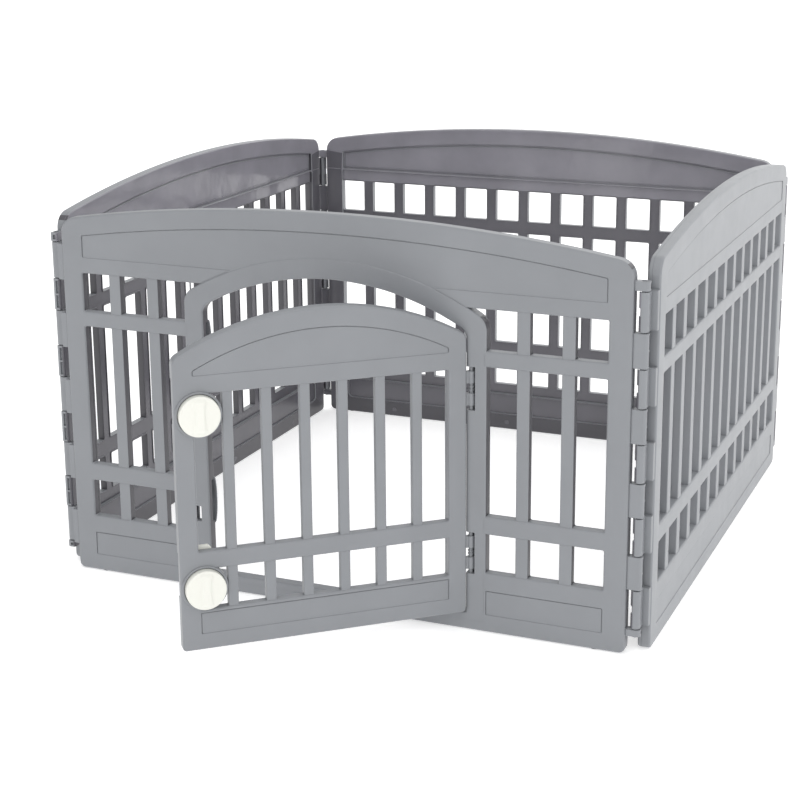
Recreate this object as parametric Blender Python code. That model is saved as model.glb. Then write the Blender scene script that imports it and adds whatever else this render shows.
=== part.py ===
"""Pet playpen: four arched grid panels pinned together at the corners on
upright rods, with an arched door in the front panel.

Metres, +Z up. Every panel is drawn once in its own frame: X runs along the
outer face from the clip edge to the tab edge, Y points into the pen and Z is
up. The four panels stand in a pinwheel, so each one's tab edge meets the next
one's clip edge. The door hangs on two pins and is drawn closed, then swung open.
"""
from math import acos, asin, atan2, cos, pi, radians, sin, sqrt

import bmesh
import bpy
from mathutils import Vector

# ---- panel ---------------------------------------------------------------
PANEL_W = 0.875            # along the ground
PANEL_T = 0.018            # rim depth
PANEL_TOP = (0.5486, 0.585)    # heights of the arch at its sides and its apex
PANEL_TOP_R = 0.025
PANEL_FOOT_R = 0.008
STILE_W = 0.033
ROWS = ((0.089, 0.146), (0.173, 0.388), (0.411, 0.469))   # window rows, low to high
RAIL_BACK_Y = 0.0125       # rails and bars are thinner than the rim
BAR_W = 0.0185
BAR_FRONT_Y = 0.0015       # bars sit back from the rail faces
BAR_COUNT = 12
RECESS_D = 0.002           # shallow field in the outer face
FIELD_INSET = 0.035
UPPER_FIELD = (0.493, 0.526, 0.557)    # bottom, side and apex heights
LOWER_FIELD = (0.026, 0.062)

# ---- corner joint --------------------------------------------------------
TAB_AXIS = Vector((PANEL_W + 0.0125, 0.0075, 0.0))    # rod axis past the tab edge
CLIP_AXIS = Vector((-0.019, 0.0165, 0.0))             # rod axis past the clip edge
TABS = ((0.027, 0.037), (0.095, 0.143), (0.199, 0.247), (0.303, 0.351),
        (0.407, 0.455), (0.512, 0.525))
TAB_LENGTH = 0.022
TAB_Y = (0.001, 0.014)
CLIP_GAP = 0.0015
CLIP_R = 0.0070
CLIP_BORE_R = 0.0045
CLIP_LIPS = (radians(22), radians(98))    # the mouth faces the pen and the panel
CLIP_ARM_Y = (0.0098, 0.0125)
CLIP_BLOCK = (-0.008, 0.001)       # face and outer side of the block that carries a clip
ROD_R = 0.0040
ROD_HOLE_R = 0.0046
ROD_Z = (0.0255, 0.522)

# ---- doorway and door ----------------------------------------------------
FRAME_X = (0.2035, 0.6715)        # outer edges of the door posts
FRAME_TOP = (0.4526, 0.5215)
DOORWAY_X = (0.2335, 0.6415)
DOORWAY_TOP = (0.4359, 0.4915)
SILL_Z = 0.026
DOOR_X = (0.235, 0.639)
DOOR_Z = 0.028
DOOR_TOP = (0.4332, 0.4885)
DOOR_STILE_W = 0.026
DOOR_ROWS = ((0.086, 0.142), (0.1675, 0.385))
DOOR_BAR_W = 0.014
DOOR_BAR_COUNT = 6
DOOR_UPPER_FIELD = (0.410, 0.417, 0.461)
DOOR_LOWER_FIELD = (0.051, 0.081)
DOOR_OPEN = radians(41.0)

# ---- door hinges ---------------------------------------------------------
HINGE_AXIS = Vector((0.6475, 0.0055, 0.0))
HINGE_NOTCHES = ((0.085, 0.147), (0.325, 0.387))
BARREL_R = 0.0055
BARREL_H = 0.0175
BARREL_INSET = 0.0065             # from a notch's end to its nearest barrel
HINGE_PIN_R = 0.0032
HINGE_BORE_R = 0.0036
HINGE_PIN_SEAT = 0.004            # depth of each pin end in the post

# ---- latches -------------------------------------------------------------
LATCH_X = 0.2675
LATCH_Z = (0.1165, 0.3575)
BOSS_R = 0.0315
BOSS_Y = (-0.002, 0.009)
CUP_R = 0.0284
CUP_Y = 0.0008
KNOB_R = 0.0275
KNOB_FRONT_Y = -0.0125            # face of the disc
GRIP_FRONT_Y = -0.0140            # top of the grip ridge
GRIP_HALF_W = (0.0050, 0.0085)    # at the waist and at the ends
SHAFT_R = 0.0070
TONGUE_Y = (0.0115, 0.0162)
TONGUE_W = 0.0250
TONGUE_REACH = 0.0560
CAVITY_Y = 0.0112
SQUARE = 0.0085                   # across the flats of the drive square
SCREW_HEAD_R = 0.0055
SCREW_HEAD_H = 0.0020
SCREW_R = 0.0018
STRIKE_X = 0.2070
STRIKE_Y = 0.0100
STRAP_Y = 0.0262                  # back of the arched strap

# ---- feet ----------------------------------------------------------------
FOOT_X = (0.045, PANEL_W - 0.045)
FOOT_R = 0.0060
FOOT_STAND = 0.001                # the panels' clearance above the ground
FOOT_DEPTH = 0.006

GAP = 0.0003                      # clearance between touching pieces
OVER = 0.001                      # how far a cutter runs past a face


# ---- outlines ------------------------------------------------------------
def arc(centre, radius, start, end, steps):
    """Points on an arc, both ends included; angles in radians."""
    angles = [start + (end - start) * i / steps for i in range(steps + 1)]
    return [(centre[0] + radius * cos(a), centre[1] + radius * sin(a)) for a in angles]


def circle(centre, radius, steps):
    return arc(centre, radius, 0.0, 2 * pi * (steps - 1) / steps, steps - 1)


def rectangle(x0, x1, z0, z1):
    return [(x0, z0), (x1, z0), (x1, z1), (x0, z1)]


def arched(x0, x1, foot_z, side_z, apex_z, top_r, foot_r=0.0, arch_steps=14):
    """Outline with upright sides and an arched top with rounded shoulders."""
    middle = (x0 + x1) / 2
    half = (x1 - x0) / 2
    rise = apex_z - side_z
    radius = (half * half + rise * rise) / (2 * rise)
    centre_z = apex_z - radius
    offset = half - top_r
    shoulder_z = centre_z + sqrt((radius - top_r) ** 2 - offset ** 2)
    lean = atan2(shoulder_z - centre_z, offset)
    foot = [(x0, foot_z), (x1, foot_z)]
    if foot_r:
        foot = arc((x0 + foot_r, foot_z + foot_r), foot_r, pi, 1.5 * pi, 3)
        foot += arc((x1 - foot_r, foot_z + foot_r), foot_r, 1.5 * pi, 2 * pi, 3)
    right = arc((x1 - top_r, shoulder_z), top_r, 0.0, lean, 3)
    arch = arc((middle, centre_z), radius, lean, pi - lean, arch_steps)
    left = arc((x0 + top_r, shoulder_z), top_r, pi - lean, pi, 3)
    return foot + right + arch[1:-1] + left


def clip_profile():
    """Plan of one snap clip: a C round the rod, an arm and a block on the panel's edge."""
    centre = CLIP_AXIS.xy
    block_x, side_y = CLIP_BLOCK
    low_y, high_y = CLIP_ARM_Y
    low = asin((low_y - centre.y) / CLIP_R)
    high = asin((high_y - centre.y) / CLIP_R)
    near_lip, far_lip = CLIP_LIPS
    return ([(block_x, low_y), (block_x, side_y), (OVER, side_y), (OVER, high_y)]
            + arc(centre, CLIP_R, high, near_lip, 4)
            + arc(centre, CLIP_BORE_R, near_lip, far_lip - 2 * pi, 12)
            + arc(centre, CLIP_R, far_lip - 2 * pi, low, 10))


def tab_profile():
    """Plan of one tab: a block round the rod with eased outer corners."""
    end_x = PANEL_W + TAB_LENGTH
    ease = 0.002
    return [(PANEL_W - OVER, TAB_Y[0]), (end_x - ease, TAB_Y[0]), (end_x, TAB_Y[0] + ease),
            (end_x, TAB_Y[1] - ease), (end_x - ease, TAB_Y[1]), (PANEL_W - OVER, TAB_Y[1])]


def barrel_profile():
    """Plan of one door knuckle: a barrel with an arm to the door's edge."""
    low = asin(0.0025 / BARREL_R)
    high = asin(0.0035 / BARREL_R)
    arm_x = DOOR_X[1] - OVER
    return arc(HINGE_AXIS.xy, BARREL_R, low - pi, pi - high, 12) + [
        (arm_x, HINGE_AXIS.y + 0.0035), (arm_x, HINGE_AXIS.y - 0.0025)]


def tongue_profile(z):
    """Upright latch tongue: round about the knob's axis, chamfered at its tip."""
    half = TONGUE_W / 2
    tip = z + TONGUE_REACH
    return arc((LATCH_X, z), half, pi, 2 * pi, 8) + [
        (LATCH_X + half, tip - 0.004), (LATCH_X + half - 0.004, tip),
        (LATCH_X - half + 0.004, tip), (LATCH_X - half, tip - 0.004)]


def sweep_profile(z):
    """Room the tongue needs in the door, from upright round to the free edge."""
    half = TONGUE_W / 2 + 0.001
    reach = TONGUE_REACH + 0.003
    edge = DOOR_X[0] - OVER
    quarter = arc((LATCH_X, z), reach, acos(half / reach), acos((edge - LATCH_X) / reach), 6)
    return quarter + [(edge, z - half), (LATCH_X, z - half)] + arc(
        (LATCH_X, z), half, 1.5 * pi, 2 * pi, 4)[1:]


def strap_profile(z):
    """Side view of a strike's strap, bowed back behind the post."""
    foot_y = PANEL_T + 0.001
    middle = z + 0.0185
    angles = [pi * (i / 10 - 0.5) for i in range(11)]
    outer = [(foot_y + (STRAP_Y - foot_y) * cos(a), middle + 0.036 * sin(a)) for a in angles]
    inner = [(y - 0.0022, v) for y, v in reversed(outer)]
    return outer + inner


def grip_profile(z):
    """Upright grip ridge, waisted in the middle."""
    waist, end = GRIP_HALF_W
    levels = [-1.0, -0.6, 0.0, 0.6, 1.0]
    tall = 0.0205
    right = [(LATCH_X + waist + (end - waist) * k * k, z + tall * k) for k in levels]
    left = [(2 * LATCH_X - x, height) for x, height in reversed(right)]
    return right + left


# ---- solids --------------------------------------------------------------
MATERIALS = {}
SWEEP = {"X": lambda u, v, w: (w, u, v), "Y": lambda u, v, w: (u, w, v),
         "Z": lambda u, v, w: (u, v, w)}


def material(name, colour, roughness, metallic=0.0):
    made = bpy.data.materials.new(name)
    made.use_nodes = True
    shader = made.node_tree.nodes["Principled BSDF"]
    shader.inputs["Base Color"].default_value = (*colour, 1.0)
    shader.inputs["Roughness"].default_value = roughness
    shader.inputs["Metallic"].default_value = metallic
    MATERIALS[name] = made


def solid(name, prisms, axis="Y", finish=None):
    """One object made of separate prisms, each (outline, low, high) along an axis."""
    place = SWEEP[axis]
    work = bmesh.new()
    for outline, low, high in prisms:
        first = [work.verts.new(place(u, v, low)) for u, v in outline]
        last = [work.verts.new(place(u, v, high)) for u, v in outline]
        work.faces.new(first)
        work.faces.new(reversed(last))
        for i in range(len(outline)):
            work.faces.new((first[i - 1], last[i - 1], last[i], first[i]))
    bmesh.ops.recalc_face_normals(work, faces=work.faces)
    mesh = bpy.data.meshes.new(name)
    work.to_mesh(mesh)
    work.free()
    made = bpy.data.objects.new(name, mesh)
    bpy.context.scene.collection.objects.link(made)
    if finish:
        mesh.materials.append(MATERIALS[finish])
        smooth(made)
    return made


def smooth(piece):
    piece.data.shade_smooth()
    piece.data.set_sharp_from_angle(angle=radians(35))


def combine(target, label, operation, prisms, axis):
    """Adds a Boolean whose tool is a guide and not part of the object."""
    tool = solid(target.name + label, prisms, axis)
    step = target.modifiers.new(tool.name, "BOOLEAN")
    step.operation = operation
    step.solver = "EXACT"
    step.object = tool
    tool.hide_render = True
    tool.display_type = "WIRE"
    tool.parent = target


def cut(target, label, prisms, axis="Y"):
    combine(target, label, "DIFFERENCE", prisms, axis)


def add(target, label, prisms, axis="Y"):
    combine(target, label, "UNION", prisms, axis)


# ---- panels --------------------------------------------------------------
def bar_starts(first_x, last_x, bar_w, count):
    """Left edges of evenly spaced bars between two stiles."""
    window = (last_x - first_x - count * bar_w) / (count + 1)
    return [first_x + window + i * (window + bar_w) for i in range(count)]


def panel(name, bars, lower_spans):
    """A grid panel with its bars at the given left edges."""
    rim = arched(0, PANEL_W, 0, *PANEL_TOP, PANEL_TOP_R, PANEL_FOOT_R, 20)
    made = solid(name, [(rim, 0, PANEL_T)], "Y", "grey_plastic")
    inner = (STILE_W, PANEL_W - STILE_W)
    cut(made, "_rows", [(rectangle(*inner, *row), -OVER, PANEL_T + OVER) for row in ROWS])
    rails = rectangle(*inner, ROWS[0][0] - 0.018, UPPER_FIELD[0] - 0.002)
    cut(made, "_rail_backs", [(rails, RAIL_BACK_Y, PANEL_T + OVER)])
    fields = [arched(FIELD_INSET, PANEL_W - FIELD_INSET, *UPPER_FIELD, 0.003)]
    fields += [rectangle(*span, *LOWER_FIELD) for span in lower_spans]
    cut(made, "_fields", [(field, -OVER, RECESS_D) for field in fields])
    cut(made, "_pockets", [(field, RAIL_BACK_Y, PANEL_T + OVER) for field in fields])
    foot_z = ROWS[0][0] - 0.004
    head_z = ROWS[-1][1] + 0.004
    add(made, "_bars", [(rectangle(x, x + BAR_W, foot_z, head_z), BAR_FRONT_Y, RAIL_BACK_Y)
                        for x in bars])
    return made


def knuckles(made):
    """Tabs with rod holes on one edge, snap clips on the other, foot holes below."""
    add(made, "_tabs", [(tab_profile(), *heights) for heights in TABS], "Z")
    clips = [(low[1] + CLIP_GAP, high[0] - CLIP_GAP) for low, high in zip(TABS, TABS[1:])]
    add(made, "_clips", [(clip_profile(), *heights) for heights in clips], "Z")
    rod_hole = circle(TAB_AXIS.xy, ROD_HOLE_R, 10)
    cut(made, "_rod_hole", [(rod_hole, 0, ROD_Z[1] + GAP)], "Z")
    feet = [circle((x, PANEL_T / 2), FOOT_R + GAP, 12) for x in FOOT_X]
    cut(made, "_foot_holes", [(foot, -OVER, FOOT_DEPTH + GAP) for foot in feet], "Z")


def door_frame(made):
    """Arched frame round the doorway, with hinge notches and latch strikes."""
    add(made, "_frame", [(arched(*FRAME_X, SILL_Z / 2, *FRAME_TOP, 0.025), 0, PANEL_T)])
    doorway = arched(*DOORWAY_X, SILL_Z, *DOORWAY_TOP, 0.018)
    cut(made, "_doorway", [(doorway, -OVER, PANEL_T + OVER)])
    notch = rectangle(DOORWAY_X[1] - OVER, HINGE_AXIS.x + BARREL_R + 0.002,
                      -OVER, HINGE_AXIS.y + BARREL_R + 0.0015)
    cut(made, "_notches", [(notch, *heights) for heights in HINGE_NOTCHES], "Z")
    seat = circle(HINGE_AXIS.xy, HINGE_BORE_R, 12)
    reach = HINGE_PIN_SEAT + GAP
    cut(made, "_pin_seats", [(seat, low - reach, high + reach) for low, high in HINGE_NOTCHES], "Z")
    pockets = [rectangle(STRIKE_X, DOORWAY_X[0] + OVER, z - 0.0145, z + 0.0520) for z in LATCH_Z]
    cut(made, "_strikes", [(pocket, STRIKE_Y, PANEL_T + OVER) for pocket in pockets])
    windows = [rectangle(STRIKE_X, STRIKE_X + 0.013, z - 0.012, z + 0.012) for z in LATCH_Z]
    cut(made, "_strike_windows", [(window, -OVER, STRIKE_Y + OVER) for window in windows])
    straps = [(strap_profile(z), STRIKE_X + 0.004, DOORWAY_X[0] - GAP) for z in LATCH_Z]
    add(made, "_strike_straps", straps, "X")


# ---- door ----------------------------------------------------------------
def door_panel():
    outline = arched(*DOOR_X, DOOR_Z, *DOOR_TOP, 0.014, 0.005)
    made = solid("door", [(outline, 0, PANEL_T)], "Y", "grey_plastic")
    inner = (DOOR_X[0] + DOOR_STILE_W, DOOR_X[1] - DOOR_STILE_W)
    cut(made, "_rows", [(rectangle(*inner, *row), -OVER, PANEL_T + OVER) for row in DOOR_ROWS])
    rails = rectangle(*inner, DOOR_ROWS[0][0] - 0.004, DOOR_ROWS[1][1] + 0.004)
    cut(made, "_rail_backs", [(rails, RAIL_BACK_Y, PANEL_T + OVER)])
    fields = [arched(*inner, *DOOR_UPPER_FIELD, 0.003), rectangle(*inner, *DOOR_LOWER_FIELD)]
    cut(made, "_fields", [(field, -OVER, RECESS_D) for field in fields])
    cut(made, "_pockets", [(field, RAIL_BACK_Y, PANEL_T + OVER) for field in fields])
    foot_z = DOOR_ROWS[0][0] - 0.003
    head_z = DOOR_ROWS[1][1] + 0.003
    bars = bar_starts(*inner, DOOR_BAR_W, DOOR_BAR_COUNT)
    add(made, "_bars", [(rectangle(x, x + DOOR_BAR_W, foot_z, head_z), BAR_FRONT_Y, RAIL_BACK_Y)
                        for x in bars])
    bosses = [circle((LATCH_X, z), BOSS_R, 24) for z in LATCH_Z]
    add(made, "_bosses", [(boss, *BOSS_Y) for boss in bosses])
    cups = [circle((LATCH_X, z), CUP_R, 24) for z in LATCH_Z]
    cut(made, "_cups", [(cup, BOSS_Y[0] - OVER, CUP_Y) for cup in cups])
    cut(made, "_cavities", [(sweep_profile(z), CAVITY_Y, PANEL_T + OVER) for z in LATCH_Z])
    shafts = [circle((LATCH_X, z), SHAFT_R + GAP, 16) for z in LATCH_Z]
    cut(made, "_shaft_holes", [(shaft, -OVER, PANEL_T) for shaft in shafts])
    barrels = []
    for low, high in HINGE_NOTCHES:
        barrels.append((low + BARREL_INSET, low + BARREL_INSET + BARREL_H))
        barrels.append((high - BARREL_INSET - BARREL_H, high - BARREL_INSET))
    add(made, "_barrels", [(barrel_profile(), *heights) for heights in barrels], "Z")
    bore = circle(HINGE_AXIS.xy, HINGE_BORE_R, 12)
    cut(made, "_pin_bores", [(bore, DOOR_Z, DOOR_TOP[1])], "Z")
    return made


# ---- latches -------------------------------------------------------------
def latch(side, z):
    """Knob, tongue and retaining screw that turn together."""
    axis = (LATCH_X, z)
    knob = solid(side + "_knob", [(circle(axis, KNOB_R, 28), KNOB_FRONT_Y, CUP_Y - GAP)],
                 "Y", "ivory_plastic")
    add(knob, "_grip", [(grip_profile(z), GRIP_FRONT_Y, KNOB_FRONT_Y + OVER)])
    add(knob, "_shaft", [(circle(axis, SHAFT_R, 16), CUP_Y - OVER, TONGUE_Y[0] - GAP)])
    half = SQUARE / 2
    square = rectangle(LATCH_X - half, LATCH_X + half, z - half, z + half)
    add(knob, "_drive", [(square, TONGUE_Y[0] - OVER, TONGUE_Y[1] - GAP)])
    cut(knob, "_screw_hole", [(circle(axis, SCREW_R + GAP, 12), 0.004, PANEL_T)])

    tongue = solid(side + "_latch_tongue", [(tongue_profile(z), *TONGUE_Y)], "Y", "ivory_plastic")
    socket = half + GAP
    square = rectangle(LATCH_X - socket, LATCH_X + socket, z - socket, z + socket)
    cut(tongue, "_socket", [(square, CAVITY_Y, PANEL_T)])

    head_y = TONGUE_Y[1] + GAP
    screw = solid(side + "_latch_screw",
                  [(circle(axis, SCREW_HEAD_R, 16), head_y, head_y + SCREW_HEAD_H)], "Y", "steel")
    add(screw, "_shank", [(circle(axis, SCREW_R, 12), 0.0045, head_y + OVER)])
    drive = [rectangle(LATCH_X - 0.003, LATCH_X + 0.003, z - 0.0005, z + 0.0005),
             rectangle(LATCH_X - 0.0005, LATCH_X + 0.0005, z - 0.003, z + 0.003)]
    for index, slot in enumerate(drive):
        cut(screw, "_drive_slot_" + str(index), [(slot, head_y + 0.001, head_y + 0.003)])
    return [knob, tongue, screw]


def hinge_pin(name, notch):
    low, high = notch
    plan = circle(HINGE_AXIS.xy, HINGE_PIN_R, 12)
    return solid(name, [(plan, low - HINGE_PIN_SEAT, high + HINGE_PIN_SEAT)], "Z", "grey_plastic")


# ---- assembly ------------------------------------------------------------
def pivot(name, place, angle=0.0, carrier=None):
    """An empty on a joint's axis, turned about +Z and riding on a carrier."""
    made = bpy.data.objects.new(name, None)
    made.location = place
    made.rotation_euler = (0.0, 0.0, angle)
    made.parent = carrier
    bpy.context.scene.collection.objects.link(made)
    return made


def hang(pieces, carrier, drawn_at):
    """Hangs pieces on a pivot that stands at drawn_at in their own drawing frame."""
    for piece in pieces:
        piece.parent = carrier
        piece.location = -drawn_at


def corner_rod(name):
    return solid(name, [(circle(TAB_AXIS.xy, ROD_R, 10), *ROD_Z)], "Z", "grey_plastic")


def feet(side):
    """Two rubber pads pushed into the panel's bottom edge."""
    names = (side + "_foot_clip_end", side + "_foot_tab_end")
    return [solid(name, [(circle((x, PANEL_T / 2), FOOT_R, 12), -FOOT_STAND, FOOT_DEPTH)],
                  "Z", "dark_rubber") for name, x in zip(names, FOOT_X)]


def reach_forward():
    """Foremost point of the open door, on the rim of its knobs."""
    along = HINGE_AXIS.x - LATCH_X + KNOB_R
    proud = HINGE_AXIS.y - KNOB_FRONT_Y
    return HINGE_AXIS.y - along * sin(DOOR_OPEN) - proud * cos(DOOR_OPEN)


def build():
    for old in list(bpy.data.objects):
        bpy.data.objects.remove(old)
    material("grey_plastic", (0.30, 0.31, 0.32), 0.38)
    material("ivory_plastic", (0.83, 0.83, 0.78), 0.30)
    material("steel", (0.55, 0.55, 0.56), 0.30, 1.0)
    material("dark_rubber", (0.06, 0.06, 0.06), 0.75)

    inner = (STILE_W, PANEL_W - STILE_W)
    bars = bar_starts(*inner, BAR_W, BAR_COUNT)
    sides = [(STILE_W, FRAME_X[0]), (FRAME_X[1], PANEL_W - STILE_W)]
    front = panel("front_panel", bars[:2] + bars[-2:], sides)
    door_frame(front)
    right = panel("right_panel", bars, [inner])
    back = panel("back_panel", bars, [inner])
    left = panel("left_panel", bars, [inner])
    for piece in (front, right, back, left):
        knuckles(piece)

    link = TAB_AXIS - CLIP_AXIS
    across = Vector((-link.y, link.x, 0.0))
    outer_x = CLIP_AXIS.x - TAB_AXIS.y
    far_y = (TAB_AXIS + across).y + CLIP_AXIS.y
    middle_x = (outer_x + TAB_AXIS.x + CLIP_AXIS.y) / 2
    stand = Vector((-middle_x, -(far_y + reach_forward()) / 2, FOOT_STAND))
    corner = stand + TAB_AXIS
    front_place = pivot("front_place", stand)
    right_place = pivot("right_place", corner, pi / 2)
    back_place = pivot("back_place", corner + across, pi)
    left_place = pivot("left_place", stand + CLIP_AXIS, 1.5 * pi)
    hang([front, corner_rod("corner_rod_front_right")] + feet("front"),
         front_place, Vector((0, 0, 0)))
    hang([right, corner_rod("corner_rod_back_right")] + feet("right"), right_place, CLIP_AXIS)
    hang([back, corner_rod("corner_rod_back_left")] + feet("back"), back_place, CLIP_AXIS)
    hang([left, corner_rod("corner_rod_front_left")] + feet("left"), left_place, TAB_AXIS)

    door_place = pivot("door_place", HINGE_AXIS, DOOR_OPEN, front_place)
    lower_notch, upper_notch = HINGE_NOTCHES
    pins = [hinge_pin("door_hinge_pin_lower", lower_notch),
            hinge_pin("door_hinge_pin_upper", upper_notch)]
    hang([door_panel()] + pins, door_place, HINGE_AXIS)
    for side, z in zip(("lower", "upper"), LATCH_Z):
        axis = Vector((LATCH_X, 0.0, z))
        hang(latch(side, z), pivot(side + "_latch_place", axis - HINGE_AXIS, 0.0, door_place), axis)


build()
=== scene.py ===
"""Looks for the pet playpen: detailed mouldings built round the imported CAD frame."""
from math import acos, asin, atan2, cos, pi, radians, sin, sqrt

import bmesh
import bpy
from mathutils import Matrix, Vector
from mathutils.geometry import tessellate_polygon


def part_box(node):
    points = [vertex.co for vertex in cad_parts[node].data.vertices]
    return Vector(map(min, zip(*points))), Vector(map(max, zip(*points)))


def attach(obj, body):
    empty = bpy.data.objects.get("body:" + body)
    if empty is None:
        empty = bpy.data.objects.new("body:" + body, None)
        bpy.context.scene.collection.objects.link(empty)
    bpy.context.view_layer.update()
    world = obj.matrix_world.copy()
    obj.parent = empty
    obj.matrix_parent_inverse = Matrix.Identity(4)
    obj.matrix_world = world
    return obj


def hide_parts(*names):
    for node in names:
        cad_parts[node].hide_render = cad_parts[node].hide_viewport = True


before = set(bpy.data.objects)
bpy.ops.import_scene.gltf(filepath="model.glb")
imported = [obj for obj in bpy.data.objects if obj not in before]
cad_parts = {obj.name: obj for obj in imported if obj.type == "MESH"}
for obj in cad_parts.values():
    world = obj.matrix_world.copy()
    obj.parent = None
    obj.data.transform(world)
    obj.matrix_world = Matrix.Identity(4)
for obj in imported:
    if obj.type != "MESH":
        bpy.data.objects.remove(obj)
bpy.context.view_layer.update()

# ---- sizes, in the panel's own frame, metres ------------------------------
W, T = 0.875, 0.018
TOP = (0.5486, 0.585)
STILE = 0.033
INNER = (STILE, W - STILE)
ROWS = ((0.089, 0.146), (0.173, 0.388), (0.411, 0.469))
BACK_Y = 0.0125
BAR_W = 0.0185
BAR_Y = 0.0015
UPPER = (0.493, 0.526, 0.557)
LOWER = (0.026, 0.062)
LIP = 0.0020                          # width of the lip round a window's inner side
TAB_AXIS = Vector((0.8875, 0.0075, 0.0))
CLIP_AXIS = Vector((-0.019, 0.0165, 0.0))
TABS = ((0.027, 0.037), (0.095, 0.143), (0.199, 0.247), (0.303, 0.351),
        (0.407, 0.455), (0.512, 0.525))
FRAME_X, FRAME_TOP = (0.2035, 0.6715), (0.4526, 0.5215)
DOORWAY_X, DOORWAY_TOP, SILL = (0.2335, 0.6415), (0.4359, 0.4915), 0.026
DOOR_X, DOOR_Z, DOOR_TOP = (0.235, 0.639), 0.028, (0.4332, 0.4885)
DOOR_INNER = (0.261, 0.613)
DOOR_ROWS = ((0.086, 0.142), (0.1675, 0.385))
DOOR_BAR_W = 0.014
DOOR_UPPER, DOOR_LOWER = (0.410, 0.417, 0.461), (0.051, 0.081)
DOOR_OPEN = radians(41.0)
HINGE = Vector((0.6475, 0.0055, 0.0))
NOTCHES = ((0.085, 0.147), (0.325, 0.387))
LATCH_X, LATCH_Z = 0.2675, (0.1165, 0.3575)
CLIP_R, CLIP_BORE, TAB_BORE = 0.0070, 0.0045, 0.0043
WINDOW_R = 0.0018                     # corners of the windows
POCKET = (0.002, 0.0009)              # depth and edge radius of a recessed field
CUP_R, SEAT_R, SHAFT_R = 0.0284, 0.0315, 0.0073
KNOB_R, KNOB_EDGE, KNOB_FACE = 0.0275, 0.0016, -0.0108
PIN_R, COLLAR_R = 0.0032, 0.0042
UPPER_RAIL = 0.478                    # the inner side is glossier above this height; below it, it carries painted shade


# ---- outlines --------------------------------------------------------------
def arc(centre, radius, start, end, steps):
    angles = [start + (end - start) * i / steps for i in range(steps + 1)]
    return [(centre[0] + radius * cos(a), centre[1] + radius * sin(a)) for a in angles]


def circle(centre, radius, steps):
    return arc(centre, radius, 0.0, 2 * pi * (steps - 1) / steps, steps - 1)


def rounded(x0, x1, z0, z1, r, steps=3):
    """Rectangle with rounded corners, anticlockwise."""
    if not r:
        return [(x0, z0), (x1, z0), (x1, z1), (x0, z1)]
    return (arc((x1 - r, z0 + r), r, -pi / 2, 0, steps)
            + arc((x1 - r, z1 - r), r, 0, pi / 2, steps)
            + arc((x0 + r, z1 - r), r, pi / 2, pi, steps)
            + arc((x0 + r, z0 + r), r, pi, 1.5 * pi, steps))


def arched(x0, x1, foot_z, side_z, apex_z, top_r, foot_r, arch_steps=48):
    """Outline with upright sides and an arched top with rounded shoulders."""
    middle, half, rise = (x0 + x1) / 2, (x1 - x0) / 2, apex_z - side_z
    radius = (half * half + rise * rise) / (2 * rise)
    centre_z = apex_z - radius
    offset = half - top_r
    shoulder_z = centre_z + sqrt((radius - top_r) ** 2 - offset ** 2)
    lean = atan2(shoulder_z - centre_z, offset)
    foot = arc((x0 + foot_r, foot_z + foot_r), foot_r, pi, 1.5 * pi, 5)
    foot += arc((x1 - foot_r, foot_z + foot_r), foot_r, 1.5 * pi, 2 * pi, 5)
    right = arc((x1 - top_r, shoulder_z), top_r, 0.0, lean, 8)
    arch = arc((middle, centre_z), radius, lean, pi - lean, arch_steps)
    left = arc((x0 + top_r, shoulder_z), top_r, pi - lean, pi, 8)
    return foot + right + arch[1:-1] + left


def clean(loop):
    """Drops points that repeat their neighbour."""
    kept = []
    for p in loop:
        if not kept or (Vector(p) - Vector(kept[-1])).length > 1e-6:
            kept.append(p)
    if (Vector(kept[0]) - Vector(kept[-1])).length < 1e-6:
        kept.pop()
    return kept


def inset(loop, amount):
    """Moves a closed anticlockwise loop inwards by amount, or outwards if negative."""
    count = len(loop)
    out = []
    for i in range(count):
        a, b, c = Vector(loop[i - 1]), Vector(loop[i]), Vector(loop[(i + 1) % count])
        one, two = (b - a).normalized(), (c - b).normalized()
        n1, n2 = Vector((-one.y, one.x)), Vector((-two.y, two.x))
        bisector = (n1 + n2)
        scale = max(bisector.dot(n1), 0.3)
        out.append(tuple(b + bisector * (amount / scale)))
    return out


# ---- mesh building ---------------------------------------------------------
AXES = {"X": lambda u, v, w: (w, u, v), "Y": lambda u, v, w: (u, w, v),
        "Z": lambda u, v, w: (u, v, w)}


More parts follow.
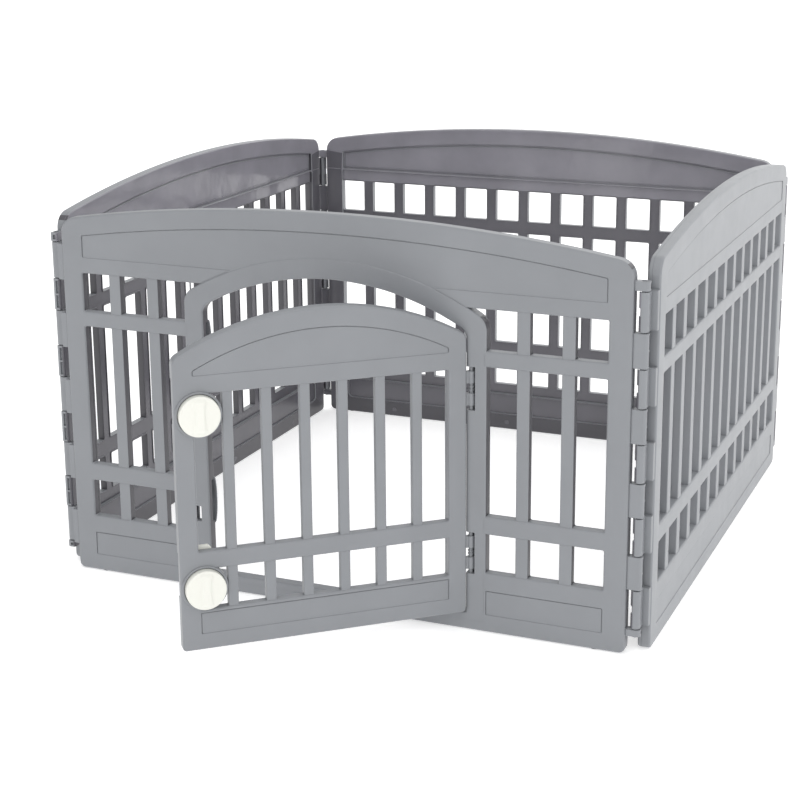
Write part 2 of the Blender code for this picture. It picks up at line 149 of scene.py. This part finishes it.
class Moulding:
    """Collects closed shells with filleted edges into one mesh."""

    def __init__(self):
        self.work = bmesh.new()

    def ring(self, loop, level, place):
        return [self.work.verts.new(place(u, v, level)) for u, v in loop]

    def strip(self, one, two):
        for i in range(len(one)):
            self.work.faces.new((one[i - 1], two[i - 1], two[i], one[i]))

    def cap(self, rings, place):
        verts = [v for ring in rings for v in ring]
        flat = {"X": (1, 2), "Y": (0, 2), "Z": (0, 1)}[place]
        loops = [[Vector((v.co[flat[0]], v.co[flat[1]], 0.0)) for v in ring] for ring in rings]
        for tri in tessellate_polygon(loops):
            if len(set(tri)) == 3:
                try:
                    self.work.faces.new([verts[i] for i in tri])
                except ValueError:
                    pass

    def wall(self, loop, low, high, r_low, r_high, hole, place, steps):
        """Side wall of a loop with fillets at both ends; returns its end rings."""
        sign = -1.0 if hole else 1.0
        rings = []
        if r_low:
            for k in range(steps):
                t = k / steps * pi / 2
                rings.append(self.ring(inset(loop, sign * r_low * (1 - sin(t))),
                                       low + r_low * (1 - cos(t)), place))
        rings.append(self.ring(loop, low + r_low, place))
        if abs(high - r_high - low - r_low) > 1e-7:
            rings.append(self.ring(loop, high - r_high, place))
        if r_high:
            for k in range(1, steps + 1):
                t = k / steps * pi / 2
                rings.append(self.ring(inset(loop, sign * r_high * (1 - cos(t))),
                                       high - r_high * (1 - sin(t)), place))
        for one, two in zip(rings, rings[1:]):
            self.strip(one, two)
        return rings[0], rings[-1]

    def plate(self, outline, low, high, r=(0.0, 0.0), holes=(), hole_r=(0.0, 0.0),
              low_pockets=(), high_pockets=(), axis="Y", steps=3):
        """A plate with through holes and shallow pockets, each (loop, depth, edge r)."""
        place = AXES[axis]
        outline = clean(outline)
        first, last = self.wall(outline, low, high, *r, False, place, steps)
        lows, highs = [first], [last]
        for hole in holes:
            one, two = self.wall(clean(hole), low, high, *hole_r, True, place, 2)
            lows.append(one)
            highs.append(two)
        for loop, depth, edge in low_pockets:
            one, floor = self.wall(clean(loop), low, low + depth, edge, 0.0, True, place, 2)
            lows.append(one)
            self.cap([floor], axis)
        for loop, depth, edge in high_pockets:
            floor, two = self.wall(clean(loop), high - depth, high, 0.0, edge, True, place, 2)
            highs.append(two)
            self.cap([floor], axis)
        self.cap(lows, axis)
        self.cap(highs, axis)

    def loft(self, rings_points):
        """A closed shell through rings of 3-D points that all have the same count."""
        rings = [[self.work.verts.new(p) for p in ring] for ring in rings_points]
        for one, two in zip(rings, rings[1:]):
            self.strip(one, two)
        self.work.faces.new(rings[0])
        self.work.faces.new(list(reversed(rings[-1])))

    def to_object(self, name):
        bmesh.ops.recalc_face_normals(self.work, faces=self.work.faces)
        mesh = bpy.data.meshes.new(name)
        self.work.to_mesh(mesh)
        self.work.free()
        made = bpy.data.objects.new(name, mesh)
        bpy.context.scene.collection.objects.link(made)
        return made


def carve(target, tools, operation="DIFFERENCE"):
    """Applies Booleans to target and removes the tools."""
    for tool in tools:
        step = target.modifiers.new("cut", "BOOLEAN")
        step.operation = operation
        step.solver = "EXACT"
        step.object = tool
    bake(target)
    for tool in tools:
        bpy.data.objects.remove(tool)


def bake(target):
    """Applies the modifiers of an object."""
    bpy.context.view_layer.update()
    graph = bpy.context.evaluated_depsgraph_get()
    mesh = bpy.data.meshes.new_from_object(target.evaluated_get(graph))
    target.modifiers.clear()
    target.data = mesh


def merge(target, others):
    """Joins other objects' meshes into target."""
    work = bmesh.new()
    work.from_mesh(target.data)
    for other in others:
        work.from_mesh(other.data)
        bpy.data.objects.remove(other)
    work.to_mesh(target.data)
    work.free()


def finish_mesh(piece):
    """Smooth fillets with flat faces kept flat."""
    piece.data.shade_smooth()
    piece.data.set_sharp_from_angle(angle=radians(50))
    weighted = piece.modifiers.new("normals", "WEIGHTED_NORMAL")
    weighted.keep_sharp = True
    weighted.weight = 50
    bake(piece)


def shell(name, *args, **kwargs):
    """One plate as an object of its own."""
    made = Moulding()
    made.plate(*args, **kwargs)
    return made.to_object(name)


# ---- panels ----------------------------------------------------------------
FIELD = arched(0.035, W - 0.035, *UPPER, 0.003, 0.002)
BAR_PITCH = BAR_W + (INNER[1] - INNER[0] - 12 * BAR_W) / 13
BARS = [INNER[0] + BAR_PITCH - BAR_W + i * BAR_PITCH for i in range(12)]


def ring_plate(into, outer, width, low, high, r):
    """A thin closed ridge that follows the inside of an outline."""
    outer = clean(outer)
    into.plate(outer, low, high, r, [inset(outer, width)], (0.0, r[1]), steps=2)


def field_pad(into, loop):
    """Raised floor of a field: a fine groove is left round its top and ends."""
    pad = inset(clean(loop), 0.0010)
    foot = min(v for u, v in pad)
    pad = [(u, v - 0.0022 if v < foot + 0.0015 else v) for u, v in pad]
    into.plate(pad, 0.0010, 0.0030, (0.0004, 0.0), steps=2)


def clip_shell(into, low, high):
    """A snap clip: a C with a notch in its free lip, an arm and a block on the edge."""
    centre = CLIP_AXIS.xy
    arm, reach = radians(-73), radians(-35)
    middle, notch = (low + high) / 2, 0.0055
    for bottom, top, wide, r in ((low, middle - notch, 0, (0.0005, 0.0)),
                                 (middle - notch, middle + notch, 46, (0.0, 0.0)),
                                 (middle + notch, high, 0, (0.0, 0.0005))):
        near_lip, far_lip = radians(22), radians(98 + wide - 360)
        outline = (arc(centre, CLIP_R, reach, near_lip, 8)
                   + arc(centre, CLIP_BORE, near_lip, far_lip, 28)
                   + arc(centre, CLIP_R, far_lip, arm, 28)
                   + [(-0.0078, 0.0098), (-0.0078, 0.0125)])
        into.plate(outline, bottom, top, r, axis="Z", steps=2)
    block = rounded(-0.008, 0.001, 0.001, 0.0125, 0.0010)
    into.plate(block, low, high, (0.0006, 0.0006), axis="Z", steps=2)
    for z in (middle, middle + (high - low) * 0.24):
        nub = rounded(-0.0083, -0.006, 0.0085, 0.0112, 0.0002)
        into.plate(nub, z - 0.0006, z + 0.0006, axis="Z")


def tab_shell(low, high):
    """A tab with its rod hole; the taller ones have two cored slots on the far side."""
    outline = rounded(W - 0.001, W + 0.0205, 0.001, 0.014, 0.0045, 5)
    made = shell("tab", outline, low, high, (0.0009, 0.0009),
                 [circle(TAB_AXIS.xy, TAB_BORE, 20)], (0.0, 0.0), axis="Z")
    middle = (low + high) / 2
    inside = 0.0030
    spans = [(low + inside, middle - 0.0012), (middle + 0.0012, high - inside)]
    if high - low < 0.02:
        spans = [(low + inside, high - inside)]
    slot = rounded(W + 0.0172, W + 0.024, 0.0066, 0.0108, 0.0)
    carve(made, [shell("slot", slot, bottom, top, axis="Z") for bottom, top in spans])
    return made


def corner_pieces():
    """All the tabs and clips of one panel as one mesh."""
    clips = Moulding()
    for low, high in zip(TABS, TABS[1:]):
        clip_shell(clips, low[1] + 0.0015, high[0] - 0.0015)
    made = clips.to_object("corner")
    merge(made, [tab_shell(low, high) for low, high in TABS])
    return made


def panel_parts(bars, rows, fields, lower_backs):
    """Main plate, rim and relief of a panel."""
    outline = arched(0, W, 0, *TOP, 0.025, 0.009)
    front = shell("plate", outline, 0.0, BACK_Y, (0.0032, 0.0005), rows, (0.0028, 0.0012),
                  [(loop, *POCKET) for loop in fields])
    rim = shell("rim", outline, BACK_Y, T, (0.0005, 0.0022),
                [rounded(*INNER, 0.071, UPPER[0] - 0.0022, 0.004), FIELD], (0.0, 0.0010), (),
                [(loop, 0.0022, 0.0008) for loop in lower_backs])
    relief = Moulding()
    for loop in fields:
        field_pad(relief, loop)
    for x in bars:
        relief.plate(rounded(x, x + BAR_W, 0.083, 0.475, 0), BAR_Y, BACK_Y - 0.0002,
                     (0.0013, 0.0010))
    ring_plate(relief, inset(clean(FIELD), 0.004), 0.0016, BACK_Y - 0.0005, BACK_Y + 0.0011,
               (0.0, 0.0005))
    for loop in lower_backs:
        ring_plate(relief, inset(clean(loop), -0.0022), 0.0022, T - 0.0005, T + 0.0014,
                   (0.0, 0.0008))
    for x in (0.003, W - 0.030):
        line = rounded(x, x + 0.027, UPPER[0] - 0.0012, UPPER[0] + 0.0002, 0)
        relief.plate(line, T - 0.0005, T + 0.0003, (0.0, 0.0002), steps=2)
    return front, rim, relief


def row_holes(spans, rows):
    """Outlines of the windows: each row across each span."""
    return [rounded(x0, x1, low, high, WINDOW_R, 2) for x0, x1 in spans for low, high in rows]


def window_lips(into, edges, rows):
    """A narrow lip on the inner side round each window between two edges."""
    for x0, x1 in zip(edges[::2], edges[1::2]):
        for low, high in rows:
            outer = rounded(x0 - LIP, x1 + LIP, low - LIP, high + LIP, WINDOW_R + LIP, 3)
            ring_plate(into, outer, LIP, BACK_Y - 0.0006, BACK_Y + 0.0010, (0.0, 0.0004))


def bar_edges(start, bars, end):
    """Where the windows of a span start and end."""
    return [start] + [x for low in bars for x in (low, low + BAR_W)] + [end]


def bosses(into, places):
    """Small round bosses along the foot of the inner side."""
    for x in places:
        into.plate(circle((x, 0.013), 0.0042, 20), T - 0.0005, T + 0.0006, (0.0, 0.0004), steps=2)


def grid_panel(name):
    """A plain panel: twelve bars in three rows of windows."""
    lower = rounded(*INNER, *LOWER, 0.0015, 2)
    back = rounded(0.041, W - 0.041, 0.031, 0.068, 0.007, 5)
    front, rim, relief = panel_parts(BARS, row_holes([INNER], ROWS), [FIELD, lower], [back])
    bosses(relief, [0.14 + 0.119 * i for i in range(6)])
    window_lips(relief, bar_edges(INNER[0], BARS, INNER[1]), ROWS)
    merge(front, [rim, relief.to_object("relief"), corner_pieces()])
    front.name = name
    return front


def strap(into, z):
    """The bowed strap behind a latch strike."""
    foot_y, back_y, middle = 0.019, 0.0262, z + 0.0185
    angles = [pi * (i / 24 - 0.5) for i in range(25)]
    outer = [(foot_y + (back_y - foot_y) * cos(a), middle + 0.036 * sin(a)) for a in angles]
    inner = [(y - 0.0022, v) for y, v in reversed(outer)]
    into.plate(outer + inner, 0.211, 0.2332, axis="X")


def front_frame():
    """Door frame shell: posts, arch band and sill top; door_front_panel cuts its notches and
    strikes.
    """
    outline = arched(*FRAME_X, 0.012, *FRAME_TOP, 0.025, 0.0)
    doorway = arched(*DOORWAY_X, SILL, *DOORWAY_TOP, 0.018, 0.0)
    return shell("frame", outline, 0.0, T - 0.0003, (0.0028, 0.0018), [doorway], (0.0026, 0.0018))


def doorway_cutter(grow, foot_z, low, high):
    """A tool in the shape of the doorway, grown on its sides and top."""
    x0, x1 = DOORWAY_X
    side, apex = DOORWAY_TOP
    return shell("cutter", arched(x0 - grow, x1 + grow, foot_z, side + grow * 0.6, apex + grow,
                                  0.018 + grow, 0.0), low, high)


def door_front_panel(name):
    """The front panel: two short grids and an arched frame round the doorway."""
    hidden = 0.006
    spans = [(INNER[0], FRAME_X[0] + hidden), (FRAME_X[1] - hidden, INNER[1])]
    rows = row_holes(spans, ROWS[:2])
    rows += row_holes([(INNER[0], 0.240), (W - 0.240, INNER[1])], ROWS[2:])
    lowers = [rounded(INNER[0], FRAME_X[0], *LOWER, 0.0015, 2),
              rounded(FRAME_X[1], INNER[1], *LOWER, 0.0015, 2)]
    backs = [rounded(0.041, 0.196, 0.031, 0.068, 0.007, 5),
             rounded(W - 0.196, W - 0.041, 0.031, 0.068, 0.007, 5)]
    front, rim, relief = panel_parts(BARS[:2] + BARS[-2:], rows, [FIELD] + lowers, backs)
    bosses(relief, [0.11, W - 0.11])
    window_lips(relief, bar_edges(INNER[0], BARS[:2], FRAME_X[0] + 0.004), ROWS)
    window_lips(relief, bar_edges(FRAME_X[1] - 0.004, BARS[-2:], INNER[1]), ROWS)
    for z in LATCH_Z:
        strap(relief, z)
    rest = relief.to_object("relief")

    x0, x1 = FRAME_X
    side, apex = FRAME_TOP
    inside = 0.003
    frame_cut = arched(x0 + inside, x1 - inside, 0.015, side - inside, apex - inside, 0.023, 0.0)
    for plate in (front, rim):
        carve(plate, [shell("cutter", frame_cut, -0.01, 0.03)])
    carve(rest, [doorway_cutter(0.012, 0.02, -0.01, 0.0165)])

    groove = clean(arched(x0 - 0.0008, x1 + 0.0008, 0.3, side + 0.0006, apex + 0.0009, 0.025, 0.0))
    ring = shell("groove", groove, -0.001, 0.0011)
    above = shell("keep", rounded(0.1, 0.775, 0.462, 0.60, 0), -0.002, 0.0022)
    carve(ring, [above], "INTERSECT")
    carve(front, [ring])

    made = front_frame()
    x_hinge = HINGE.x + 0.0075
    cutters = []
    for low, high in NOTCHES:
        notch = rounded(DOORWAY_X[1] - 0.004, x_hinge, -0.004, HINGE.y + 0.0070, 0.0)
        cutters.append(shell("notch", notch, low, high, axis="Z"))
    for z in LATCH_Z:
        pocket = rounded(0.207, DOORWAY_X[0] + 0.004, z - 0.0145, z + 0.052, 0.0)
        cutters.append(shell("strike", pocket, 0.010, 0.022))
        cutters.append(shell("window", rounded(0.207, 0.220, z - 0.012, z + 0.012, 0.0008, 2),
                             -0.002, 0.0105))
    carve(made, cutters)
    merge(made, [front, rim, rest, corner_pieces()])
    made.name = name
    return made


# ---- door ------------------------------------------------------------------
DOOR_PITCH = DOOR_BAR_W + (DOOR_INNER[1] - DOOR_INNER[0] - 6 * DOOR_BAR_W) / 7
DOOR_BARS = [DOOR_INNER[0] + DOOR_PITCH - DOOR_BAR_W + i * DOOR_PITCH for i in range(6)]


def sweep(z):
    """Outline of the hollow in which a latch tongue turns."""
    half, reach, edge = 0.0135, 0.059, DOOR_X[0] - 0.003
    quarter = arc((LATCH_X, z), reach, acos(half / reach), acos((edge - LATCH_X) / reach), 16)
    return quarter + [(edge, z - half), (LATCH_X, z - half)] + arc(
        (LATCH_X, z), half, 1.5 * pi, 2 * pi, 8)[1:]


def cavity_tools():
    return [shell("cavity", sweep(z), 0.0112, 0.022) for z in LATCH_Z]


def shaft_tools():
    return [shell("shaft", circle((LATCH_X, z), SHAFT_R, 32), -0.004, 0.02) for z in LATCH_Z]


def door_leaf():
    """The door: its grille, rim, knob seats and hinge knuckles."""
    outline = arched(*DOOR_X, DOOR_Z, *DOOR_TOP, 0.014, 0.005)
    crescent = arched(*DOOR_INNER, *DOOR_UPPER, 0.004, 0.002)
    lower = rounded(*DOOR_INNER, *DOOR_LOWER, 0.0015, 2)
    rows = row_holes([DOOR_INNER], DOOR_ROWS)
    leaf = shell("door_leaf", outline, 0.0, BACK_Y, (0.0028, 0.0), rows, (0.0026, 0.0012),
                 [(loop, *POCKET) for loop in (crescent, lower)])
    rim = shell("rim", outline, BACK_Y, T, (0.0, 0.0020),
                [rounded(*DOOR_INNER, 0.083, 0.388, 0.003), crescent, lower], (0.0, 0.0010))
    cups = [shell("cup", circle((LATCH_X, z), CUP_R, 64), -0.003, 0.0008) for z in LATCH_Z]
    carve(leaf, cups + shaft_tools() + cavity_tools())
    carve(rim, cavity_tools())

    relief = Moulding()
    for x in DOOR_BARS:
        relief.plate(rounded(x, x + DOOR_BAR_W, 0.081, 0.390, 0), BAR_Y, BACK_Y - 0.0002,
                     (0.0013, 0.0010))
    barrels = []
    for low, high in NOTCHES:
        barrels += [(low + 0.0065, low + 0.024), (high - 0.024, high - 0.0065)]
    low_y, high_y = HINGE.y - 0.0025, HINGE.y + 0.0035
    for low, high in barrels:
        arm = [(DOOR_X[1] - 0.002, high_y), (DOOR_X[1] - 0.002, low_y)]
        around = arc(HINGE.xy, 0.0055, asin(0.0025 / 0.0055) - pi, pi - asin(0.0035 / 0.0055), 28)
        relief.plate(around + arm, low, high, (0.0006, 0.0006), [circle(HINGE.xy, 0.0036, 24)],
                     (0.0, 0.0), axis="Z", steps=2)
    rest = relief.to_object("relief")
    pads = Moulding()
    for loop in (crescent, lower):
        field_pad(pads, loop)
    seats = Moulding()
    for z in LATCH_Z:
        seats.plate(circle((LATCH_X, z), SEAT_R, 72), -0.002, 0.009, (0.0011, 0.0),
                    low_pockets=[(circle((LATCH_X, z), CUP_R, 72), 0.0028, 0.0004)], steps=3)
    seat = seats.to_object("seats")
    carve(seat, shaft_tools())
    merge(leaf, [rim, rest, seat, pads.to_object("pads")])
    leaf.name = "door_leaf"
    return leaf


def knob(name, z):
    """Round knob: a low dome with a waisted upright ridge, its shaft and drive square."""
    made = Moulding()
    segments, radius, edge, face = 96, KNOB_R, KNOB_EDGE, KNOB_FACE
    rings = [(0.0265, 0.0005, False), (radius - 0.0002, 0.0002, False), (radius, 0.0, False),
             (radius, face + edge, False)]
    for k in range(1, 5):
        t = k / 4 * pi / 2
        rings.append((radius - edge * (1 - cos(t)), face + edge * (1 - sin(t)), False))
    for k in range(1, 26):
        rings.append(((radius - edge) * (1 - k / 26), None, True))
    shells = []
    for r, y, front in rings:
        ring = []
        for i in range(segments):
            a = 2 * pi * i / segments
            x, v = r * cos(a), r * sin(a)
            level = y
            if front:
                dome = 0.0008 * (1 - (r / (radius - edge)) ** 2)
                half = 0.0060 + 0.0018 * (v / 0.0205) ** 2
                across = min(max((half + 0.0020 - abs(x)) / 0.0040, 0.0), 1.0)
                along = min(max((0.0248 - abs(v)) / 0.005, 0.0), 1.0)
                lift = across * across * (3 - 2 * across) * along * along * (3 - 2 * along)
                level = face - dome - 0.0023 * lift
            ring.append(Vector((LATCH_X + x, level, z + v)))
        shells.append(ring)
    made.loft(shells)
    made.plate(circle((LATCH_X, z), 0.0070, 32), 0.0, 0.0112)
    made.plate(rounded(LATCH_X - 0.00425, LATCH_X + 0.00425, z - 0.00425, z + 0.00425, 0.0006, 2),
               0.0110, 0.0159)
    return made.to_object(name)


def hinge_pin(name, low, high):
    """Hinge pin with two fine rings between the door's knuckles."""
    made = Moulding()
    made.plate(circle(HINGE.xy, PIN_R, 24), low - 0.004, high + 0.004, (0.0004, 0.0004),
               axis="Z", steps=2)
    middle = (low + high) / 2
    for z in (middle - 0.0032, middle + 0.0012):
        made.plate(circle(HINGE.xy, COLLAR_R, 24), z, z + 0.0020, (0.0004, 0.0004),
                   axis="Z", steps=2)
    return made.to_object(name)


# ---- materials -------------------------------------------------------------
def plastic(name, colour, roughness, grain, mottling, waves=0.0):
    """Moulded plastic with a fine grain, faint mottling and slightly uneven gloss."""
    made = bpy.data.materials.new(name)
    made.use_nodes = True
    nodes, links = made.node_tree.nodes, made.node_tree.links
    shader = nodes["Principled BSDF"]
    shader.inputs["IOR"].default_value = 1.49
    coords = nodes.new("ShaderNodeTexCoord")

    def noise(scale, detail):
        texture = nodes.new("ShaderNodeTexNoise")
        texture.inputs["Scale"].default_value = scale
        texture.inputs["Detail"].default_value = detail
        links.new(coords.outputs["Object"], texture.inputs["Vector"])
        return texture.outputs["Fac"]

    cloud = noise(14.0, 3.0)
    ramp = nodes.new("ShaderNodeValToRGB")
    ramp.color_ramp.elements[0].position = 0.3
    ramp.color_ramp.elements[1].position = 0.7
    ramp.color_ramp.elements[0].color = (*[c * (1 - mottling) for c in colour], 1.0)
    ramp.color_ramp.elements[1].color = (*[c * (1 + mottling) for c in colour], 1.0)
    links.new(cloud, ramp.inputs["Fac"])
    links.new(ramp.outputs["Color"], shader.inputs["Base Color"])
    gloss = nodes.new("ShaderNodeMapRange")
    gloss.inputs["To Min"].default_value = roughness - 0.05
    gloss.inputs["To Max"].default_value = roughness + 0.06
    links.new(noise(40.0, 4.0), gloss.inputs["Value"])
    links.new(gloss.outputs["Result"], shader.inputs["Roughness"])
    bump = nodes.new("ShaderNodeBump")
    bump.inputs["Strength"].default_value = 0.12
    bump.inputs["Distance"].default_value = 0.0003
    links.new(noise(grain, 2.0), bump.inputs["Height"])
    if waves:
        swell = nodes.new("ShaderNodeBump")
        swell.inputs["Strength"].default_value = 0.5
        swell.inputs["Distance"].default_value = waves
        links.new(noise(18.0, 2.0), swell.inputs["Height"])
        links.new(swell.outputs["Normal"], bump.inputs["Normal"])
    links.new(bump.outputs["Normal"], shader.inputs["Normal"])
    return made


def steel(name):
    """Bright steel with uneven gloss."""
    made = bpy.data.materials.new(name)
    made.use_nodes = True
    nodes, links = made.node_tree.nodes, made.node_tree.links
    shader = nodes["Principled BSDF"]
    shader.inputs["Base Color"].default_value = (0.55, 0.55, 0.56, 1.0)
    shader.inputs["Metallic"].default_value = 1.0
    coords = nodes.new("ShaderNodeTexCoord")
    texture = nodes.new("ShaderNodeTexNoise")
    texture.inputs["Scale"].default_value = 900.0
    links.new(coords.outputs["Object"], texture.inputs["Vector"])
    gloss = nodes.new("ShaderNodeMapRange")
    gloss.inputs["To Min"].default_value = 0.22
    gloss.inputs["To Max"].default_value = 0.42
    links.new(texture.outputs["Fac"], gloss.inputs["Value"])
    links.new(gloss.outputs["Result"], shader.inputs["Roughness"])
    return made


GREY = plastic("grey_moulded", (0.248, 0.258, 0.275), 0.36, 900.0, 0.03)
# lit tone of the inner side, the counterpart of the painted-shade copies below; glossier, with
# waves
INNER_LIT_LOOK = plastic("grey_inner_lit", (0.240, 0.234, 0.264), 0.08, 900.0, 0.08, 0.0026)
# painted shade: a darker copy of the grey plastic for the shaded inner side
INNER_PAINTED_SHADE = plastic("grey_inner_painted_shade", (0.120, 0.117, 0.133), 0.20, 900.0, 0.08, 0.0010)
# painted deep shade: a still darker copy of the grey for side walls and the low inner bands
DEEP_PAINTED_SHADE = plastic("grey_deep_painted_shade", (0.074, 0.072, 0.082), 0.30, 900.0, 0.05)
IVORY = plastic("ivory_moulded", (0.80, 0.80, 0.74), 0.30, 1100.0, 0.01)
RUBBER = plastic("dark_rubber", (0.05, 0.05, 0.05), 0.75, 1500.0, 0.08)
STEEL = steel("screw_steel")


def paint(piece, look):
    """Gives a piece a single material."""
    piece.data.materials.clear()
    piece.data.materials.append(look)


def shade_sides(piece, place, lit):
    """Painted shade on a piece: a darker copy of the grey on its inner side, a lit, glossier copy
    on the upper field, and a still darker copy on walls facing the tab edge and on the low inner
    bands.

    A lit piece has the lit tone of the upper field on all of its inner side, with no painted shade
    there.
    """
    for look in (INNER_PAINTED_SHADE, DEEP_PAINTED_SHADE, INNER_LIT_LOOK):
        piece.data.materials.append(look)
    back_to_panel = place.inverted()
    turn_back = back_to_panel.to_3x3()
    for face in piece.data.polygons:
        at, way = back_to_panel @ face.center, turn_back @ face.normal
        # painted deep shade on walls that face the tab edge
        if way.x > 0.6 and 0.002 < at.y < 0.017 and at.x < W - 0.004:
            face.material_index = 2
        elif way.y > 0.4 and at.y > 0.009:
            # painted deep shade on the low inner bands round the lower recess; painted shade on
            # the rest of the inner side below UPPER_RAIL, unless the piece is lit
            band = at.z < 0.0305 or 0.0685 < at.z < 0.086
            if lit or at.z > UPPER_RAIL:
                face.material_index = 3
            else:
                face.material_index = 2 if band and at.y < T + 0.0004 else 1


# ---- assembly --------------------------------------------------------------
low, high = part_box("front_panel")
FRONT = Matrix.Translation(Vector((low[0] - (CLIP_AXIS.x - CLIP_R), low[1], low[2])))


def turned(angle, at, pivot):
    """Panel frame turned about the vertical, with its pivot point at a place."""
    return Matrix.Translation(at) @ Matrix.Rotation(angle, 4, "Z") @ Matrix.Translation(-pivot)


link = TAB_AXIS - CLIP_AXIS
front_right = FRONT @ TAB_AXIS
back_right = front_right + Vector((-link.y, link.x, 0.0))
PLACES = {"right": turned(pi / 2, front_right, CLIP_AXIS),
          "back": turned(pi, back_right, CLIP_AXIS),
          "left": turned(1.5 * pi, FRONT @ CLIP_AXIS, TAB_AXIS)}
DOOR = FRONT @ turned(DOOR_OPEN, HINGE, HINGE)


def install(piece, place, look, body, node):
    """Puts a piece in place, paints it, and gives it the body and node it belongs to."""
    piece.data.transform(place)
    finish_mesh(piece)
    paint(piece, look)
    # grey pieces other than the pins get painted shade on their inner side and side walls
    if look is GREY and "pin" not in node:
        shade_sides(piece, place, node == "door")
    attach(piece, body)
    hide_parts(node)


install(door_front_panel("front_panel_moulding"), FRONT, GREY, "front_panel",
        "front_panel")
for side, place in PLACES.items():
    body = side + "_panel"
    install(grid_panel(body + "_moulding"), place, GREY, body, body)
install(door_leaf(), DOOR, GREY, "door", "door")
for side, z in zip(("lower", "upper"), LATCH_Z):
    install(knob(side + "_knob_cap", z), DOOR, IVORY, side + "_latch",
            side + "_knob")
for side, notch in zip(("lower", "upper"), NOTCHES):
    install(hinge_pin("hinge_pin_" + side, *notch), DOOR, GREY, "door",
            "door_hinge_pin_" + side)

for node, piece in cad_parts.items():
    for word, look in (("rod", GREY), ("tongue", IVORY), ("screw", STEEL), ("foot", RUBBER)):
        if word in node:
            paint(piece, look)

# ---- floor, light and camera ----------------------------------------------
floor_mesh = Moulding()
floor_mesh.plate([(-30, -30), (30, -30), (30, 30), (-30, 30)], -0.02, 0.0, axis="Z")
floor = floor_mesh.to_object("floor")
floor_look = bpy.data.materials.new("floor")
floor_look.use_nodes = True
floor_shader = floor_look.node_tree.nodes["Principled BSDF"]
floor_shader.inputs["Base Color"].default_value = (0.85, 0.85, 0.85, 1.0)
floor_shader.inputs["Emission Color"].default_value = (1.0, 1.0, 1.0, 1.0)
floor_shader.inputs["Emission Strength"].default_value = 0.45
floor_shader.inputs["Roughness"].default_value = 0.9
floor_shader.inputs["Specular IOR Level"].default_value = 0.0
paint(floor, floor_look)

scene = bpy.context.scene
scene.view_settings.view_transform = "Standard"
world = bpy.data.worlds.new("studio")
world.use_nodes = True
scene.world = world
sky, sky_links = world.node_tree.nodes, world.node_tree.links
direction = sky.new("ShaderNodeTexCoord")


def glow(towards, start, strength):
    """Soft extra light from one side of the studio."""
    facing = sky.new("ShaderNodeVectorMath")
    facing.operation = "DOT_PRODUCT"
    facing.inputs[1].default_value = Vector(towards).normalized()
    sky_links.new(direction.outputs["Generated"], facing.inputs[0])
    spread = sky.new("ShaderNodeMapRange")
    spread.interpolation_type = "SMOOTHSTEP"
    spread.inputs["From Min"].default_value = start
    spread.inputs["From Max"].default_value = 1.0
    spread.inputs["To Min"].default_value = 0.0
    spread.inputs["To Max"].default_value = strength
    sky_links.new(facing.outputs["Value"], spread.inputs["Value"])
    return spread.outputs["Result"]


def total(one, two):
    """Adds two sockets or numbers."""
    add = sky.new("ShaderNodeMath")
    add.operation = "ADD"
    for socket, value in zip(add.inputs, (one, two)):
        if isinstance(value, float):
            socket.default_value = value
        else:
            sky_links.new(value, socket)
    return add.outputs[0]


level = total(0.26, total(glow((0.35, 0.92, 0.15), 0.2, 1.15),
                          total(glow((0.1, -0.9, 0.4), 0.0, 0.72), glow((0, 0, 1), 0.3, 0.65))))
sky_links.new(level, sky["Background"].inputs["Strength"])
sky["Background"].inputs["Color"].default_value = (1.0, 1.0, 1.0, 1.0)


lamp = bpy.data.lights.new("key", "AREA")
lamp.shape = "RECTANGLE"
lamp.size, lamp.size_y = 2.0, 2.0
lamp.energy = 11
key, aim = bpy.data.objects.new("key", lamp), Vector((0.0, 0.0, 0.3))
key.location = (4.0, -0.6, 1.6)
key.rotation_euler = (aim - key.location).to_track_quat("-Z", "Y").to_euler()
scene.collection.objects.link(key)

pitch, roll, yaw = 0.253815, -0.001899, -0.378089
turn = (Matrix(((cos(roll), -sin(roll), 0), (sin(roll), cos(roll), 0), (0, 0, 1)))
        @ Matrix(((1, 0, 0), (0, cos(pitch), -sin(pitch)), (0, sin(pitch), cos(pitch))))
        @ Matrix(((cos(yaw), 0, -sin(yaw)), (0, 1, 0), (sin(yaw), 0, cos(yaw))))
        @ Matrix(((1, 0, 0), (0, 0, -1), (0, 1, 0))))
right, up, back = turn[0], -turn[1], -turn[2]
camera_data = bpy.data.cameras.new("camera")
camera_data.lens = 77.43
camera_data.sensor_width = 36
camera_data.shift_x = -0.05
camera_data.shift_y = -0.075
camera_data.clip_end = 100
camera = bpy.data.objects.new("camera", camera_data)
camera.matrix_world = Matrix(((right.x, up.x, back.x, 0), (right.y, up.y, back.y, 0),
                              (right.z, up.z, back.z, 0), (0, 0, 0, 1)))
camera.location = FRONT @ Vector((1.4454, -2.1195, 1.0123))
scene.collection.objects.link(camera)
scene.camera = camera
